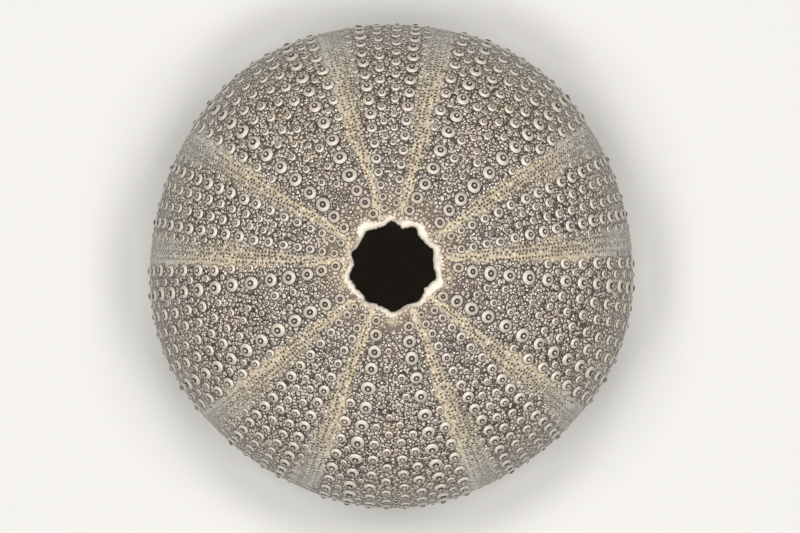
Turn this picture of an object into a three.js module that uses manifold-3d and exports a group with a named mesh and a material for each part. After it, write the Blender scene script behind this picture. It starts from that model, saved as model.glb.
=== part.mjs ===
// A cleaned regular sea urchin test: the hollow chalky shell that is left when spines, skin and
// apical plates are gone. Millimetres, +Z up. The origin is on the resting plane, on the axis
// through the two openings. The outer skin here runs over the tips of the tubercles.

import * as THREE from 'three';
import { mergeVertices } from 'three/addons/utils/BufferGeometryUtils.js';
import Module from 'manifold-3d';

// ---- Driving dimensions -------------------------------------------------------------------

const EQUATOR_RADIUS = 30;       // widest place, over the tubercles
const EQUATOR_HEIGHT = 11.4;     // its height above the resting plane
const DOME_RISE = 20.4;          // from the widest place up to the closed dome's apex
const WALL = 2.0;                // thickness over the tubercles
const FIVE_SIDEDNESS = 0.009;    // swelling of the five wide zones, as a share of the radius

const REST_RING_RADIUS = 17.2;   // middle of the flat ring that the test rests on
const REST_RING_WIDTH = 2.4;
const LIP_RADIUS = 9.0;          // where the underside's wall ends before the mouth is cut
const LIP_RISE = 1.6;            // how far the underside dishes up towards the mouth

const APEX_HOLE_RADIUS = 5.6;    // to the ten corners of the hole left by the apical plates
const APEX_HOLE_WAIST = 4.8;     // to the middle of the ten edges between them
const APEX_START_RADIUS = 2.4;   // where the dome's wall ends before the hole is cut
const MOUTH_RADIUS = 11.0;
const GILL_NOTCH_DEPTH = 1.1;    // ten shallow notches in the mouth's edge
const GILL_NOTCH_HALF_ANGLE = THREE.MathUtils.degToRad(5);
const GILL_NOTCH_FROM_RAY = THREE.MathUtils.degToRad(19);

const RAYS = 5;
const FIRST_RAY = THREE.MathUtils.degToRad(19);  // bearing of the first pore-bearing zone

const AURICLE_SPAN = 8.0;        // the five arches inside the mouth, one on each ray
const AURICLE_HEIGHT = 4.2;
const AURICLE_SPRING = 1.6;      // where the straight legs turn into the arch
const AURICLE_LEG = 1.7;         // width of a leg
const AURICLE_CROWN = 1.1;       // height of the bridge over the ray
const AURICLE_THICKNESS = 1.1;
const AURICLE_ROOT = 0.9;        // how far the feet run into the wall
const AURICLE_LEAN = THREE.MathUtils.degToRad(14);

const AROUND = 70;               // facets round the axis
const DOME_STEPS = 12;
const FLANK_STEPS = 7;
const DISH_STEPS = 3;
const INNER_STEPS = 17;
const MOUTH_STEPS = 120;
const CURVE_SEGMENTS = 4;

// ---- Profile ------------------------------------------------------------------------------

const REST_OUTER = REST_RING_RADIUS + REST_RING_WIDTH / 2;
const REST_INNER = REST_RING_RADIUS - REST_RING_WIDTH / 2;

// The outer profile, from the edge of the apical cut down over the widest place to the rest ring
// and in to the lip of the mouth.
function outerProfile() {
  const points = [];
  const start = Math.asin(APEX_START_RADIUS / EQUATOR_RADIUS);
  for (let i = 0; i < DOME_STEPS; i += 1) {
    const t = THREE.MathUtils.lerp(start, Math.PI / 2, i / DOME_STEPS);
    points.push(new THREE.Vector2(
      EQUATOR_RADIUS * Math.sin(t),
      EQUATOR_HEIGHT + DOME_RISE * Math.cos(t),
    ));
  }
  for (let i = 0; i <= FLANK_STEPS; i += 1) {
    const t = (Math.PI / 2) * (i / FLANK_STEPS);
    points.push(new THREE.Vector2(
      REST_OUTER + (EQUATOR_RADIUS - REST_OUTER) * Math.cos(t),
      EQUATOR_HEIGHT * (1 - Math.sin(t)),
    ));
  }
  for (let i = 0; i <= DISH_STEPS; i += 1) {
    const radius = THREE.MathUtils.lerp(REST_INNER, LIP_RADIUS, i / DISH_STEPS);
    points.push(new THREE.Vector2(radius, dishHeight(radius)));
  }
  return points;
}

// Inside the rest ring the underside rises gently towards the mouth.
function dishHeight(radius) {
  return LIP_RISE * ((REST_INNER - radius) / (REST_INNER - LIP_RADIUS)) ** 2;
}

// The inner profile is the outer one moved inwards by the wall, along its own normals, and it is
// sampled again so that its facets stay even.
function innerProfile(outer) {
  const curve = new THREE.SplineCurve(outer);
  const points = [];
  for (let i = 0; i <= INNER_STEPS; i += 1) {
    const t = i / INNER_STEPS;
    const here = curve.getPointAt(t);
    const along = curve.getTangentAt(t);
    points.push(new THREE.Vector2(here.x + along.y * WALL, here.y - along.x * WALL));
  }
  return points;
}

// ---- Solids -------------------------------------------------------------------------------

const wasm = await Module();
wasm.setup();

function solidOf(geometry) {
  const bare = geometry.clone();
  bare.deleteAttribute('normal');
  bare.deleteAttribute('uv');
  const merged = mergeVertices(bare, 1e-4);
  return new wasm.Manifold(new wasm.Mesh({
    numProp: 3,
    vertProperties: new Float32Array(merged.attributes.position.array),
    triVerts: new Uint32Array(merged.index.array),
  }));
}

function geometryOf(solid) {
  const mesh = solid.getMesh();
  const geometry = new THREE.BufferGeometry();
  geometry.setAttribute('position', new THREE.BufferAttribute(mesh.vertProperties, 3));
  geometry.setIndex(new THREE.BufferAttribute(mesh.triVerts, 1));
  geometry.computeVertexNormals();
  return geometry;
}

// The wall is a closed profile turned about Y, then stood up so that its axis is Z.
function wall() {
  const outer = outerProfile();
  const inner = innerProfile(outer);
  const loop = [...inner, ...outer.reverse(), inner[0].clone()];
  const geometry = new THREE.LatheGeometry(loop, AROUND);
  geometry.rotateX(Math.PI / 2);
  swellBetweenRays(geometry);
  return geometry;
}

function swellBetweenRays(geometry) {
  const position = geometry.attributes.position;
  for (let i = 0; i < position.count; i += 1) {
    const x = position.getX(i);
    const y = position.getY(i);
    const bearing = Math.atan2(y, x) - FIRST_RAY;
    const swell = 1 - FIVE_SIDEDNESS * Math.cos(RAYS * bearing);
    position.setXY(i, x * swell, y * swell);
  }
}

// An upright cutter with the ten-cornered outline that the lost apical plates leave: a corner on
// the middle line of each of the ten zones, and a shallow inward bow between two corners.
function apexCutter() {
  const corners = 2 * RAYS;
  const step = (2 * Math.PI) / corners;
  const at = (radius, angle) => [radius * Math.cos(angle), radius * Math.sin(angle)];
  const bowRadius = 2 * APEX_HOLE_WAIST - APEX_HOLE_RADIUS * Math.cos(step / 2);
  const outline = new THREE.Shape();
  outline.moveTo(...at(APEX_HOLE_RADIUS, FIRST_RAY));
  for (let i = 0; i < corners; i += 1) {
    const bow = at(bowRadius, FIRST_RAY + (i + 0.5) * step);
    const corner = at(APEX_HOLE_RADIUS, FIRST_RAY + (i + 1) * step);
    outline.quadraticCurveTo(...bow, ...corner);
  }
  const geometry = new THREE.ExtrudeGeometry(outline, {
    depth: DOME_RISE, bevelEnabled: false, curveSegments: CURVE_SEGMENTS,
  });
  geometry.translate(0, 0, EQUATOR_HEIGHT + DOME_RISE / 2);
  return geometry;
}

// An upright cutter with the mouth's outline: a circle with a gill notch on both sides of each ray.
function mouthCutter() {
  const outline = [];
  for (let i = 0; i < MOUTH_STEPS; i += 1) {
    const angle = (i / MOUTH_STEPS) * 2 * Math.PI;
    const acrossNotch = (angleFromNearestRay(angle) - GILL_NOTCH_FROM_RAY) / GILL_NOTCH_HALF_ANGLE;
    const bite = Math.abs(acrossNotch) < 1 ? Math.cos(acrossNotch * Math.PI / 2) : 0;
    const radius = MOUTH_RADIUS + GILL_NOTCH_DEPTH * bite;
    outline.push(new THREE.Vector2(radius * Math.cos(angle), radius * Math.sin(angle)));
  }
  const geometry = new THREE.ExtrudeGeometry(new THREE.Shape(outline), {
    depth: EQUATOR_HEIGHT, bevelEnabled: false,
  });
  geometry.translate(0, 0, -EQUATOR_HEIGHT / 2);
  return geometry;
}

function angleFromNearestRay(angle) {
  const pitch = (2 * Math.PI) / RAYS;
  const turns = (angle - FIRST_RAY) / pitch;
  return Math.abs(turns - Math.round(turns)) * pitch;
}

// One auricle: an arch that stands on the inner wall just outside the mouth and straddles a ray.
function auricle(ray) {
  const half = AURICLE_SPAN / 2;
  const inside = half - AURICLE_LEG;
  const rise = AURICLE_HEIGHT - AURICLE_SPRING;
  const outline = new THREE.Shape();
  outline.moveTo(half, -AURICLE_ROOT);
  outline.lineTo(half, AURICLE_SPRING);
  outline.absellipse(0, AURICLE_SPRING, half, rise, 0, Math.PI, false, 0);
  outline.lineTo(-half, -AURICLE_ROOT);
  outline.lineTo(-inside, -AURICLE_ROOT);
  outline.lineTo(-inside, AURICLE_SPRING);
  outline.absellipse(0, AURICLE_SPRING, inside, rise - AURICLE_CROWN, Math.PI, 0, true, 0);
  outline.lineTo(inside, -AURICLE_ROOT);
  outline.closePath();
  const geometry = new THREE.ExtrudeGeometry(outline, {
    depth: AURICLE_THICKNESS, bevelEnabled: false, curveSegments: 2 * CURVE_SEGMENTS,
  });
  const innerFace = MOUTH_RADIUS + GILL_NOTCH_DEPTH;
  geometry.rotateX(Math.PI / 2);
  geometry.rotateX(AURICLE_LEAN);
  geometry.translate(0, -innerFace, dishHeight(innerFace) + WALL);
  geometry.rotateZ(FIRST_RAY + (ray * 2 * Math.PI) / RAYS + Math.PI / 2);
  return geometry;
}

// ---- The one piece ------------------------------------------------------------------------

function urchinTest() {
  let solid = solidOf(wall());
  for (let ray = 0; ray < RAYS; ray += 1) {
    solid = solid.add(solidOf(auricle(ray)));
  }
  solid = solid.subtract(solidOf(apexCutter())).subtract(solidOf(mouthCutter()));
  const chalk = new THREE.MeshStandardMaterial({ color: 0xb9ab9c, roughness: 0.75, metalness: 0 });
  const mesh = new THREE.Mesh(geometryOf(solid), chalk);
  mesh.name = 'urchin_test';
  return mesh;
}

const group = new THREE.Group();
group.add(urchinTest());

export default group;
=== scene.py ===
"""A cleaned sea urchin test: the hollow chalky shell with its tubercles, grains, pores and arches.

The wall's outside is laid out plate by plate, like the real one: five pore-bearing rays and five
zones without pores between them, each of two columns of plates. Tubercles, grains and pores are
each modelled once and copied onto the skin. The larger tubercles are part of the wall, and the skin
between them is filled with triangles.
"""

import functools
import math
from collections import defaultdict
from typing import NamedTuple

import bmesh
import bpy
import numpy as np
from bpy.props import FloatProperty, FloatVectorProperty, IntProperty, PointerProperty
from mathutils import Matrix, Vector
from mathutils.geometry import delaunay_2d_cdt


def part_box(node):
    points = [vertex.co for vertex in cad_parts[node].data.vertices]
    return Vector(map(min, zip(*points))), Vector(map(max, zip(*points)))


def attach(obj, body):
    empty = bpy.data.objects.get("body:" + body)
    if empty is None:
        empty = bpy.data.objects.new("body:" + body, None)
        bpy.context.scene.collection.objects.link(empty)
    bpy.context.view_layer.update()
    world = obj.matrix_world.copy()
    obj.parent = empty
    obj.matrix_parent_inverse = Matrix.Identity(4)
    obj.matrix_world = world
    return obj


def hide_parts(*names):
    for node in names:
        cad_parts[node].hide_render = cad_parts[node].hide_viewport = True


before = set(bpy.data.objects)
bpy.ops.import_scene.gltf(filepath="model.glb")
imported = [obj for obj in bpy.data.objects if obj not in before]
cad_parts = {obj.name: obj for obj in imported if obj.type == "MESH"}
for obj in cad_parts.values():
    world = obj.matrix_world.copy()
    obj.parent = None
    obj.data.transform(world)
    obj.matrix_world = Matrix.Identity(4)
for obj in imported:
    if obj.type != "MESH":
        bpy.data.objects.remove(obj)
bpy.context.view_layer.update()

bl_info = {
    "name": "Sea urchin test",
    "version": (1, 0, 0),
    "blender": (4, 5, 0),
    "location": "View3D > Sidebar > Urchin",
    "description": "Models a cleaned regular sea urchin test over its packed frame",
    "category": "Object",
}

NODE = "urchin_test"
SHELL_MATERIAL = "urchin_shell"
MM = 0.001

# ---- Driving dimensions, in millimetres and radians -----------------------------------------

LOW, HIGH = (np.array(corner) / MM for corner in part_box(NODE))
OUTER_RADIUS = float(HIGH[0] - LOW[0] + HIGH[1] - LOW[1]) / 4
OUTER_HEIGHT = float(HIGH[2] - LOW[2])
EQUATOR_HEIGHT = 0.362 * OUTER_HEIGHT
DOME_RISE = 0.68 * OUTER_RADIUS
REST_OUTER = 18.4
REST_INNER = 16.0
LIP_RADIUS = 9.0
LIP_RISE = 1.6
RELIEF = 0.45
INNERMOST = 2.0              # where the profile starts, well inside the apical hole
DOME_STEPS = 500
FLANK_STEPS = 300
DISH_STEPS = 120

RAYS = 5
FIRST_RAY = math.radians(19)
ZONE_PITCH = 2 * math.pi / RAYS
RAY_HALF_WIDTH = math.radians(17.2)
RAY_NARROWING = 0.26         # at the hole, and how far below it most of this has gone
RAY_NARROWING_OVER = 2.5
RAY_WIDENING = 0.15          # from the widest place down to the mouth
FIVE_SIDEDNESS = 0.009

EDGE_POINTS = 140
EDGE_ROOM = 0.3
EDGE_SEED = 4
HOLE_RADIUS = 5.1
HOLE_CORNER = 0.24
HOLE_CORNER_WOBBLE = 0.15
HOLE_CRUMBS = 30
HOLE_CRUMB_WOBBLE = 0.11
HOLE_POINT_WOBBLE = 0.05
HOLE_SHIFT = (0.13, -0.37)
HOLE_CHAMFER = 0.6
HOLE_TO_INSIDE = 0.5         # from the edge to where the wall's inside begins
MOUTH_RADIUS = 11.0
MOUTH_CHAMFER = 0.3
MOUTH_TO_INSIDE = 1.0
GILL_NOTCH_DEPTH = 1.1
GILL_NOTCH_HALF_ANGLE = math.radians(5)
GILL_NOTCH_FROM_RAY = math.radians(19)
WALL = 1.55                  # under the tubercles
INSIDE_RINGS = 24

FIRST_PLATE = 0.9            # middle of the youngest plate from the hole, of the oldest from the mouth
LAST_PLATE = 0.8
SHORTEST_FIRST_PLATE = 0.62  # as shares of a full-grown plate, and how far the plates grow for it
SHORTEST_LAST_PLATE = 0.68
FIRST_PLATES_OVER = 7.0
LAST_PLATES_OVER = 9.0
YOUNG_STAGGER = 0.6          # of one column of plates against the next, as a share of a plate

PORES_FROM = (0.46, 0.64)    # where the pores begin and end across a ray, high and low on the
PORES_TO = (1.03, 0.92)      # wall, as shares of the ray's half width
PORES_NARROW_OVER = (4, 20)
FIRST_PORES = 0.7            # below the hole, and how far the last ones stay from the mouth
LAST_PORES = 0.6
PORE_STEP = (0.31, 0.44)     # between neighbouring pores, high and low on the wall
PORE_STEP_GROWS_OVER = (0, 10)
YOUNGEST_PORE = 0.84         # as a share of a full-grown one
PORE_GROWS_OVER = (0, 8)
PORE_PAIRING = 0.12          # how far the pores of a pair move together, as a share of the step
PORE_ROW_BOW = 0.55
PORE_ROW_SLANT = 0.5

ARCH_RADIUS = 12.65          # from the axis to the middle of an arch
ARCH_SPAN = 6.3
ARCH_HEIGHT = 3.65
ARCH_SPRING = 1.6
ARCH_LEG = 0.85              # half widths of the leg and of the crown
ARCH_CROWN = 0.55
ARCH_DEPTH = 0.55
ARCH_ROOT = 0.9              # how far a leg runs into the wall, and how its foot flares there
ARCH_ROOT_FLARE = 1.25
ARCH_FOOT_FLARE = 1.1
ARCH_LEAN = math.radians(14)
ARCH_STEPS = 16
ARCH_SIDES = 10


def linear(*display):
    """A colour given as it looks on screen, 0 to 255, as the shader wants it."""
    parts = [channel / 255 for channel in display]
    return tuple(part / 12.92 if part <= 0.04045 else ((part + 0.055) / 1.055) ** 2.4
                 for part in parts) + (1.0,)


# ---- What a user would change ---------------------------------------------------------------

def length(name, description, millimetres):
    return FloatProperty(name=name, description=description, default=millimetres * MM, min=0.0,
                         precision=5, unit="LENGTH")


def colour(name, description, *display):
    return FloatVectorProperty(name=name, description=description, default=linear(*display),
                               size=4, min=0.0, max=1.0, subtype="COLOR")


class UrchinSizes(bpy.types.PropertyGroup):
    """Sizes of the wall and of what stands on it."""

    seed: IntProperty(name="Seed", description="Start of every random choice", default=19, min=0)
    wall: length("Wall", "Thickness of the wall under its tubercles", WALL)
    ray_plate: length("Ray plate", "Height of a full-grown plate of a ray", 1.98)
    zone_plate: length("Zone plate", "Height of a full-grown plate between the rays", 2.55)
    small_tubercle: length("Small tubercle", "Mean radius of a small tubercle low on the wall", 0.30)
    grain: length("Grain", "Mean radius of a grain", 0.15)
    pore: length("Pore", "Mean radius of a pore", 0.125)


class UrchinColours(bpy.types.PropertyGroup):
    """Colours of the shell."""

    # Painted shade in the hollows between granules, over the ground's own darker tone
    ground_hollow_shade: colour("Dark ground", "Hollows of the ground between tubercles", 50, 42, 36)
    ground_light: colour("Light ground", "Granules of the ground between tubercles", 194, 181, 163)
    disc_grey: colour("Grey disc", "Discs of most tubercles", 178, 171, 156)
    disc_pink: colour("Pink disc", "Discs of some tubercles", 181, 167, 157)
    seam: colour("Seam", "Middle line of a zone between rays", 192, 170, 142)
    violet: colour("Violet tinge", "Patches of the ground half way down", 182, 160, 166)
    band_cream: colour("Cream band", "Pore bands high on the dome", 208, 191, 160)
    band_grey: colour("Grey band", "Pore bands low on the wall", 186, 183, 174)
    # Painted shade, with a brown stain: grooves and necks of tubercles, pore holes and grain halos
    crevice_stain_and_shade: colour("Crevice", "Grooves round tubercles and the pores", 26, 20, 16)
    # Besides the chalky edge and the grain tips, this colour is also painted as a highlight on
    # up-facing discs and as glints on random granules
    chalk_and_highlight: colour("Chalk", "The broken edge of the apical hole, and bleached tips", 218, 209, 193)
    inside: colour("Inside", "The smooth inside of the wall", 205, 196, 182)


class UrchinStage(bpy.types.PropertyGroup):
    """Lamps, floor and camera."""

    lamp_power: FloatProperty(name="Lamp power", description="Power of each of the lamps",
                              default=2.35, min=0.0, unit="POWER")
    lamp_tilt: FloatProperty(name="Lamp tilt", description="Angle of the lamps from straight above",
                             default=math.radians(25), min=0.0, unit="ROTATION")
    sky: FloatProperty(name="Sky", description="Strength of the even light from all round",
                       default=0.07, min=0.0)
    camera_height: length("Camera height", "Camera above the widest part of the shell", 600.0)
    lens: FloatProperty(name="Lens", description="Focal length", default=220.0, min=1.0, unit="CAMERA")
    floor: colour("Floor", "Colour of the floor", 196, 194, 190)


# ---- The skin and its chart -----------------------------------------------------------------

class Skin:
    """The outer surface under the tubercles: a profile turned about the axis.

    A place on it is (reach, bearing). Reach grows from the apex over the widest place to the mouth
    by length over radius, so equal steps of reach and bearing are equal lengths on the surface.
    """

    def __init__(self):
        outer = self.outer_profile()
        outward = self.normals(outer)
        profile = outer - RELIEF * outward
        step = np.hypot(*np.diff(profile, axis=0).T)
        middle = (profile[1:, 0] + profile[:-1, 0]) / 2
        self.along = np.concatenate([[0], np.cumsum(step)])
        self.reach = np.concatenate([[0], np.cumsum(step / middle)])
        self.radius, self.height = profile.T
        self.outward = outward
        self.widest = int(np.argmax(self.radius))
        self.equator = float(self.reach[self.widest])
        self.hole = float(self.reach_of_upper_radius(HOLE_RADIUS))
        self.mouth = float(self.reach_of_lower_radius(MOUTH_RADIUS))

    @staticmethod
    def outer_profile():
        start = math.asin(INNERMOST / OUTER_RADIUS)
        dome = np.linspace(start, math.pi / 2, DOME_STEPS, endpoint=False)
        flank = np.linspace(0, math.pi / 2, FLANK_STEPS)
        dish = np.linspace(REST_INNER, LIP_RADIUS, DISH_STEPS)
        reach_in = OUTER_RADIUS - REST_OUTER
        return np.concatenate([
            np.stack([OUTER_RADIUS * np.sin(dome), EQUATOR_HEIGHT + DOME_RISE * np.cos(dome)], 1),
            np.stack([REST_OUTER + reach_in * np.cos(flank), EQUATOR_HEIGHT * (1 - np.sin(flank))], 1),
            np.stack([dish, LIP_RISE * ((REST_INNER - dish) / (REST_INNER - LIP_RADIUS)) ** 2], 1),
        ])

    @staticmethod
    def normals(profile):
        ahead = np.gradient(profile, axis=0)
        ahead /= np.linalg.norm(ahead, axis=1, keepdims=True)
        return np.stack([-ahead[:, 1], ahead[:, 0]], 1)

    def reach_of_upper_radius(self, radius):
        return np.interp(radius, self.radius[:self.widest], self.reach[:self.widest])

    def reach_of_lower_radius(self, radius):
        return np.interp(-radius, -self.radius[self.widest:], self.reach[self.widest:])

    def radius_at(self, reach):
        return np.interp(reach, self.reach, self.radius)

    def along_at(self, reach):
        return np.interp(reach, self.reach, self.along)

    def reach_at(self, along):
        return np.interp(along, self.along, self.reach)

    def place(self, reach, bearing, lift=0.0):
        """Points in millimetres, lifted off the skin along its normal."""
        radius = self.radius_at(reach)
        height = np.interp(reach, self.reach, self.height)
        out = np.interp(reach, self.reach, self.outward[:, 0])
        up = np.interp(reach, self.reach, self.outward[:, 1])
        swell = 1 - FIVE_SIDEDNESS * np.cos(RAYS * (bearing - FIRST_RAY))
        spread = (radius + out * lift) * swell
        return np.stack([spread * np.cos(bearing), spread * np.sin(bearing), height + up * lift], -1)


SKIN = Skin()
ALONG_HOLE = float(SKIN.along_at(SKIN.hole))
ALONG_EQUATOR = float(SKIN.along_at(SKIN.equator))
ALONG_MOUTH = float(SKIN.along_at(SKIN.mouth))


def angle_from_ray(bearing):
    turns = (bearing - FIRST_RAY) / ZONE_PITCH
    return np.abs(turns - np.round(turns)) * ZONE_PITCH


def ray_half_width(reach):
    """Half the angle that a pore-bearing ray takes up: narrow at the apex, widest at the mouth."""
    along = SKIN.along_at(reach)
    narrowing = RAY_NARROWING * np.exp(-np.maximum(along - ALONG_HOLE, 0) / RAY_NARROWING_OVER)
    widening = RAY_WIDENING * np.clip((along - ALONG_EQUATOR) / (ALONG_MOUTH - ALONG_EQUATOR), 0, 1)
    return RAY_HALF_WIDTH * (1 - narrowing + widening)


def across_at(reach, bearing):
    """0 on a ray's middle line, 1 on the border of its pore band, more in the zone between rays."""
    return angle_from_ray(bearing) / ray_half_width(reach)


def grown(along, start, full):
    """0 to 1 over the stretch from start to full millimetres below the apical hole."""
    return float(np.clip((along - ALONG_HOLE - start) / (full - start), 0, 1))


def pore_band(along):
    """Where the pores begin and end, as shares of a ray's half width: it narrows downwards."""
    age = grown(along, *PORES_NARROW_OVER)
    return tuple(high + (low - high) * age for high, low in (PORES_FROM, PORES_TO))


# ---- Edges of the two openings --------------------------------------------------------------

EDGE_BEARINGS = np.linspace(0, 2 * math.pi, EDGE_POINTS, endpoint=False)


def hole_edge():
    """Radius of the broken edge at each edge bearing: ten uneven corners, bowed in between.

    The corners lie on the middle of each zone and of each ray.
    """
    chance = np.random.default_rng(EDGE_SEED)
    turns = (EDGE_BEARINGS - FIRST_RAY) / ZONE_PITCH * 2
    corner = HOLE_CORNER * (1.3 - 2 * np.abs(np.sin(math.pi * turns)))
    lobes = chance.normal(0, HOLE_CORNER_WOBBLE, 2 * RAYS)
    wobble = np.interp(turns % (2 * RAYS), np.arange(2 * RAYS + 1), np.append(lobes, lobes[0]))
    crumbs = chance.normal(0, HOLE_CRUMB_WOBBLE, HOLE_CRUMBS)
    nearest = np.arange(EDGE_POINTS) * HOLE_CRUMBS / EDGE_POINTS
    wobble += np.interp(nearest, np.arange(HOLE_CRUMBS + 1), np.append(crumbs, crumbs[0]))
    wobble += chance.normal(0, HOLE_POINT_WOBBLE, EDGE_POINTS)
    shift = HOLE_SHIFT[0] * np.cos(EDGE_BEARINGS) + HOLE_SHIFT[1] * np.sin(EDGE_BEARINGS)
    return HOLE_RADIUS + corner + wobble + shift


def mouth_edge():
    """Radius of the mouth at each edge bearing, with a gill notch on both sides of each ray."""
    across = (angle_from_ray(EDGE_BEARINGS) - GILL_NOTCH_FROM_RAY) / GILL_NOTCH_HALF_ANGLE
    notch = np.where(np.abs(across) < 1, np.cos(across * math.pi / 2), 0)
    return MOUTH_RADIUS + GILL_NOTCH_DEPTH * notch


HOLE_EDGE = hole_edge()
MOUTH_EDGE = mouth_edge()
UPPER_EDGE = SKIN.reach_of_upper_radius(HOLE_EDGE + HOLE_CHAMFER)
LOWER_EDGE = SKIN.reach_of_lower_radius(MOUTH_EDGE + MOUTH_CHAMFER)


# ---- Forms that repeat, each modelled once --------------------------------------------------

class Ring(NamedTuple):
    """One ring of a turned form: its radius and height, how pale it is, and how much painted shade it
    takes.
    """

    radius: float
    height: float
    pale: float
    shade: float


class Form(NamedTuple):
    """A turned form of radius 1 or so. Its first points, one to a side, are the ring it stands on."""

    points: np.ndarray
    faces: list
    sides: int
    pale: np.ndarray
    shade: np.ndarray


# Shade here is painted shade: near black in the groove round each disc and round the neck of its knob,
# and a brownish stain on the heads near the hole
LARGE_STUD = (
    Ring(1.14, 0.0, 0.0, 0.1),
    Ring(1.03, -0.10, 0.0, 1.0),
    Ring(0.93, 0.04, 1.0, 0.0),
    Ring(0.48, 0.23, 0.8, 0.1),
    Ring(0.42, 0.23, 0.2, 1.0),
    Ring(0.25, 0.36, 0.2, 0.9),
    Ring(0.16, 0.41, 0.9, 0.3),
    Ring(0.0, 0.44, 1.0, 0.27),
)
MEDIUM_STUD = (
    Ring(1.15, 0.0, 0.0, 0.1),
    Ring(1.02, -0.09, 0.0, 1.0),
    Ring(0.90, 0.06, 1.0, 0.0),
    Ring(0.52, 0.22, 0.9, 0.1),
    Ring(0.42, 0.24, 0.2, 1.0),
    Ring(0.20, 0.38, 0.8, 0.35),
    Ring(0.0, 0.44, 1.0, 0.3),
)
# Painted shade: the dark collar at its foot stands for a groove in the wall, and its neck is darkened
# too
SMALL_STUD = (
    Ring(1.35, -0.12, 0.0, 0.6),
    Ring(1.05, 0.03, 0.1, 1.0),
    Ring(0.86, 0.22, 1.0, 0.0),
    Ring(0.38, 0.42, 0.6, 0.7),
    Ring(0.0, 0.60, 1.0, 0.0),
)
# Painted shade: its dark middle stands for the hole through the wall into the dark inside of the shell
PORE_RIM = (
    Ring(1.9, -0.15, 0.0, 0.0),
    Ring(1.22, 0.40, 0.0, 0.0),
    Ring(1.05, 0.30, 0.0, 1.0),
    Ring(0.0, 0.10, 0.0, 1.0),
)
# Painted shade: the dark skirt round its foot is a halo on the wall where shade falls between grains
GRAIN = (
    Ring(1.65, -0.12, 0.0, 0.5),
    Ring(1.18, 0.04, 0.0, 1.0),
    Ring(0.86, 0.50, 1.4, 0.0),
    Ring(0.0, 0.78, 1.4, 0.0),
)
STUD_ROOM = MEDIUM_STUD[0].radius
SMALL_ROOM = 0.92
GRAIN_ROOM = 0.80
PORE_ROOM = 1.1


def deselect_all():
    for thing in bpy.context.selected_objects:
        thing.select_set(False)


def turned_form(name, sides, rings):
    """A disc whose face is lifted and drawn in ring by ring and ends in a tip."""
    deselect_all()
    bpy.ops.mesh.primitive_circle_add(vertices=sides, radius=rings[0].radius, fill_type="NGON")
    model = bpy.context.object
    model.name = name
    bpy.ops.object.mode_set(mode="EDIT")
    bpy.ops.mesh.select_all(action="SELECT")
    bpy.ops.transform.translate(value=(0, 0, rings[0].height))
    for below, ring in zip(rings, rings[1:-1]):
        rise = ring.height - below.height
        bpy.ops.mesh.extrude_region_move(TRANSFORM_OT_translate={"value": (0, 0, rise)})
        draw_in = ring.radius / below.radius
        bpy.ops.transform.resize(value=(draw_in, draw_in, 1), center_override=(0, 0, 0))
    bpy.ops.mesh.poke(offset=rings[-1].height - rings[-2].height)
    bpy.ops.object.mode_set(mode="OBJECT")
    points = np.array([vertex.co for vertex in model.data.vertices])
    faces = [list(face.vertices) for face in model.data.polygons]
    bpy.data.meshes.remove(model.data)
    spread = np.hypot(points[:, 0], points[:, 1])
    gaps = [np.abs(spread - ring.radius) + np.abs(points[:, 2] - ring.height) for ring in rings]
    nearest = np.argmin(gaps, axis=0)
    order = np.argsort(nearest, kind="stable")
    rank = np.argsort(order)
    faces = [[int(rank[corner]) for corner in face] for face in faces]
    pale = np.array([ring.pale for ring in rings])[nearest[order]]
    shade = np.array([ring.shade for ring in rings])[nearest[order]]
    return Form(points[order], faces, sides, pale, shade)


def is_base(form, face):
    """Whether a face is the disc that a form stands on."""
    return set(face) == set(range(form.sides))


def open_underneath(form):
    """The form without its base, for copies that are part of the wall."""
    return form._replace(faces=[face for face in form.faces if not is_base(form, face)])


# ---- Where everything sits ------------------------------------------------------------------

class Spot(NamedTuple):
    """A place for one copy of a form: size is its radius in millimetres."""

    reach: float
    bearing: float
    size: float
    turn: float
    stretch: float
    tint: float


class Column(NamedTuple):
    """A line of tubercles, one to a plate, on each side of the middle of a ray or a zone.

    It lies at a share of the half width, from young to old, and starts some way below the hole.
    Where two lines would touch, the one of lower rank keeps its place.
    """

    rank: int
    young_at: float
    old_at: float
    starts: float
    full: float
    young_size: float
    old_size: float
    shift: float


RAY_COLUMNS = (
    Column(0, 0.41, 0.40, 0.0, 18.0, 0.47, 0.78, 0.0),
    Column(1, 0.09, 0.14, 5.0, 18.0, 0.28, 0.66, 0.9),
    Column(2, 0.28, 0.28, 14.0, 24.0, 0.28, 0.46, 0.9),
    Column(2, 0.57, 0.57, 13.0, 22.0, 0.28, 0.46, 0.9),
)
ZONE_COLUMNS = (
    Column(0, 0.61, 0.61, 0.0, 6.0, 0.60, 0.86, 0.0),
    Column(1, 0.94, 0.92, 4.5, 14.0, 0.32, 0.80, 0.0),
    Column(1, 0.10, 0.34, 4.5, 14.0, 0.36, 0.77, -0.2),
    Column(2, 0.09, 0.12, 9.0, 20.0, 0.36, 0.68, 0.9),
    Column(2, 0.78, 0.77, 9.0, 20.0, 0.34, 0.58, 1.28),
    Column(2, 0.47, 0.48, 9.0, 20.0, 0.32, 0.55, 1.28),
)
CLOSEST_TO_MIDDLE = 1.95     # of a zone's main tubercles, where the zone is narrow
SIZE_AT_MOUTH = 0.70         # of the tubercles, which are full size this far from the mouth
FULL_SIZE_FROM_MOUTH = 10.0
SIZE_WOBBLE = 0.04
PLACE_WOBBLE = 0.05
SHRINKS = (1, 0.92, 0.84, 0.76, 0.68)    # tried in turn where a tubercle has too little room
LEAST_LESSER = 0.40          # a lesser tubercle below this size is one of the least
SMALL_TRIES = 16000
SMALL_NEAR_HOLE = 0.12       # share kept of the small tubercles that fall next to the hole
SMALL_GROW_OVER = (3, 18)
YOUNG_SMALL = 0.72           # size of the youngest small ones, as a share of full-grown ones
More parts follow.
